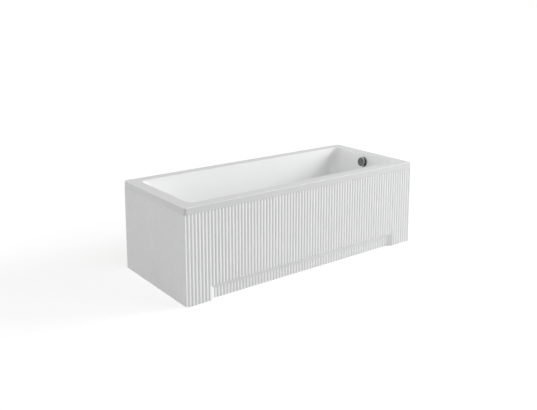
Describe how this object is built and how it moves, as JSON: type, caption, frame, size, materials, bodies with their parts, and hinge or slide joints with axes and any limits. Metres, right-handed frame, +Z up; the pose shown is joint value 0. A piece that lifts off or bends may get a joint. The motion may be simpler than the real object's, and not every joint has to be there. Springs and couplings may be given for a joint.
{
  "type": "bathtub",
  "caption": "Rectangular built-in bathtub with a slim flat rim, reeded apron panels with a slanted toe recess, levelling feet and a pop-up waste worked by the overflow knob.",
  "frame": {"origin": "on the floor, under the middle of the tub", "axes": "+X along the tub to the drain end, -Y towards the front panel, +Z up"},
  "size_m": [1.7, 0.7, 0.54],
  "materials": {
    "acrylic": "polished white sanitary acrylic",
    "panel_acrylic": "polished white sanitary acrylic, reeded",
    "chipboard": "raw chipboard under a resin coat",
    "timber": "planed softwood",
    "zinc_steel": "bright zinc-plated steel",
    "foot_plastic": "black moulded plastic",
    "dark_chrome": "dark chrome plate",
    "bright_chrome": "polished chrome plate",
    "brass": "turned brass",
    "black_rubber": "moulded rubber",
    "pipe_plastic": "white moulded polypropylene",
    "nut_plastic": "grey moulded plastic",
    "cable_sheath": "black cable sheath"
  },
  "bodies": {
    "tub": {"tub_shell": "acrylic", "front_panel": "panel_acrylic", "head_panel": "panel_acrylic", "base_board": "chipboard", "rim_rail_front": "timber", "rim_rail_back": "timber", "rim_head_rail": "timber", "panel_clips": "zinc_steel", "panel_clip_screws": "zinc_steel", "panel_floor_brackets": "zinc_steel", "panel_bracket_screws": "zinc_steel", "leg_rail_head": "zinc_steel", "leg_rail_drain": "zinc_steel", "leg_rail_screws": "zinc_steel", "leg_lock_nuts": "zinc_steel", "overflow_plate_screws": "zinc_steel", "overflow_plate": "dark_chrome", "drain_flange": "bright_chrome", "lever_pin": "brass", "overflow_gasket": "black_rubber", "pipe_seals": "black_rubber", "drain_upper_seal": "black_rubber", "drain_lower_seal": "black_rubber", "outlet_seal": "black_rubber", "overflow_body": "pipe_plastic", "overflow_pipe": "pipe_plastic", "drain_body": "pipe_plastic", "trap_cup": "pipe_plastic", "pipe_union_nuts": "nut_plastic", "trap_union_nut": "nut_plastic", "cleaning_cap": "nut_plastic", "outlet_nut": "nut_plastic", "pull_cable": "cable_sheath"},
    "knob": {"overflow_knob": "dark_chrome", "overflow_spindle": "brass", "cable_drum": "nut_plastic"},
    "plug": {"drain_plug": "bright_chrome", "plug_seal": "black_rubber", "plug_stem": "brass"},
    "lever": {"lift_lever": "nut_plastic"},
    "foot_head_front": {"leg_stud_head_front": "zinc_steel", "foot_pad_head_front": "foot_plastic"},
    "foot_head_back": {"leg_stud_head_back": "zinc_steel", "foot_pad_head_back": "foot_plastic"},
    "foot_drain_front": {"leg_stud_drain_front": "zinc_steel", "foot_pad_drain_front": "foot_plastic"},
    "foot_drain_back": {"leg_stud_drain_back": "zinc_steel", "foot_pad_drain_back": "foot_plastic"}
  },
  "joints": [
    {"name": "knob_turn", "type": "hinge", "parent": "tub", "child": "knob", "pos_m": [0.76648, 0, 0.486], "axis": [-0.9848, 0, 0.1736], "range_deg": [0, 90]},
    {"name": "plug_lift", "type": "slide", "parent": "tub", "child": "plug", "axis": [0, 0, 1], "range_m": [0, 0.011]},
    {"name": "lever_swing", "type": "hinge", "parent": "tub", "child": "lever", "pos_m": [0.59177, 0, 0.082], "axis": [0, 1, 0], "range_deg": [0, 29]},
    {"name": "foot_head_front_level", "type": "slide", "parent": "tub", "child": "foot_head_front", "axis": [0, 0, 1], "range_m": [-0.02, 0.02]},
    {"name": "foot_head_back_level", "type": "slide", "parent": "tub", "child": "foot_head_back", "axis": [0, 0, 1], "range_m": [-0.02, 0.02]},
    {"name": "foot_drain_front_level", "type": "slide", "parent": "tub", "child": "foot_drain_front", "axis": [0, 0, 1], "range_m": [-0.02, 0.02]},
    {"name": "foot_drain_back_level", "type": "slide", "parent": "tub", "child": "foot_drain_back", "axis": [0, 0, 1], "range_m": [-0.02, 0.02]}
  ],
  "couplings": [
    {"joint": "plug_lift", "follows": "knob_turn", "m_per_rad": 0.007},
    {"joint": "lever_swing", "follows": "knob_turn", "ratio": 0.322}
  ]
}
